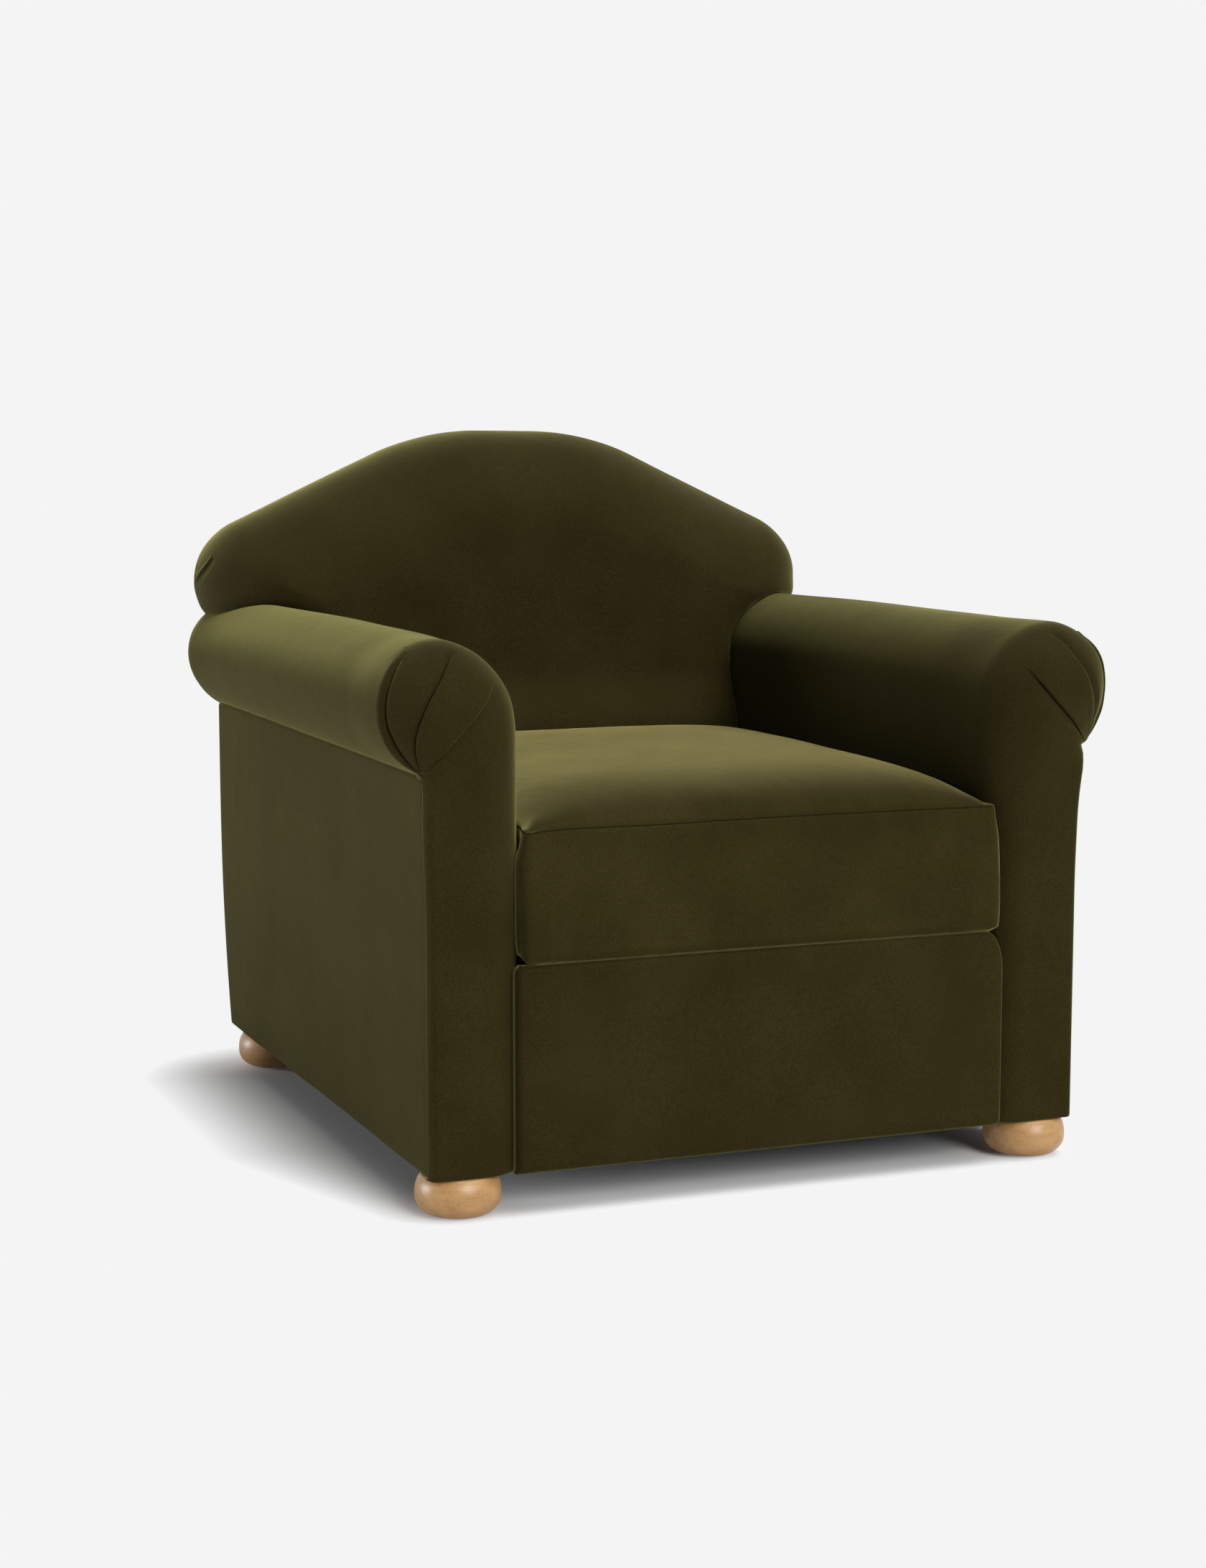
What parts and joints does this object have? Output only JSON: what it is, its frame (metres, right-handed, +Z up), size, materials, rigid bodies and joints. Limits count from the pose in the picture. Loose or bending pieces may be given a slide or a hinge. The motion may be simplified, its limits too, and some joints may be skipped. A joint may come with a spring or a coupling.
{
  "type": "accent chair",
  "caption": "Velvet roll-arm accent chair with a camel back rolled over to the rear, a loose crowned box cushion and turned bun feet.",
  "frame": {"origin": "on the floor, below the middle of the chair's bounding box", "axes": "+Z up, the chair faces -Y, and +X is the viewer's right when looking at the front"},
  "size_m": [0.936, 1.004, 0.9034],
  "materials": {
    "velvet": "short-pile cotton velvet, olive green, with a soft sheen at grazing angles",
    "cambric": "black non-woven dust cloth",
    "zip_tape": "woven tape with a nylon coil zip",
    "foam": "open-cell cushion foam in a fibre wrap",
    "beech": "planed, unfinished",
    "plywood": "sawn plywood, unfinished",
    "spring_steel": "oil-tempered wire and zinc-plated fittings",
    "oak": "turned natural oak under satin lacquer",
    "nylon": "moulded nylon",
    "brass": "turned brass"
  },
  "bodies": {
    "chair": {"inside_arm_left": "velvet", "inside_arm_right": "velvet", "outside_arm_left": "velvet", "outside_arm_right": "velvet", "inside_back": "velvet", "outside_back": "velvet", "front_border": "velvet", "seat_deck": "velvet", "dust_cover": "cambric", "front_rail": "beech", "rear_rail": "beech", "side_rail_left": "beech", "side_rail_right": "beech", "front_bottom_rail": "beech", "rear_bottom_rail": "beech", "side_bottom_rail_left": "beech", "side_bottom_rail_right": "beech", "front_post_left": "beech", "front_post_right": "beech", "rear_post_left": "plywood", "rear_post_right": "plywood", "scroll_board_left": "plywood", "scroll_board_right": "plywood", "arm_board_left": "beech", "arm_board_right": "beech", "crest_rail_front": "plywood", "crest_rail_rear": "plywood", "lower_back_rail": "beech", "corner_blocks": "beech", "foot_blocks": "beech", "seat_springs": "spring_steel", "back_springs": "spring_steel", "spring_clips": "spring_steel", "foot_front_left": "oak", "foot_front_right": "oak", "foot_rear_left": "oak", "foot_rear_right": "oak", "foot_glides": "nylon", "hanger_bolts": "spring_steel", "foot_inserts": "brass"},
    "cushion": {"cushion_cover": "velvet", "cushion_zip": "zip_tape", "cushion_core": "foam"}
  },
  "joints": [
    {"name": "cushion_lift", "type": "slide", "parent": "chair", "child": "cushion", "axis": [0, 0, 1], "range_m": [0, 0.25]}
  ]
}
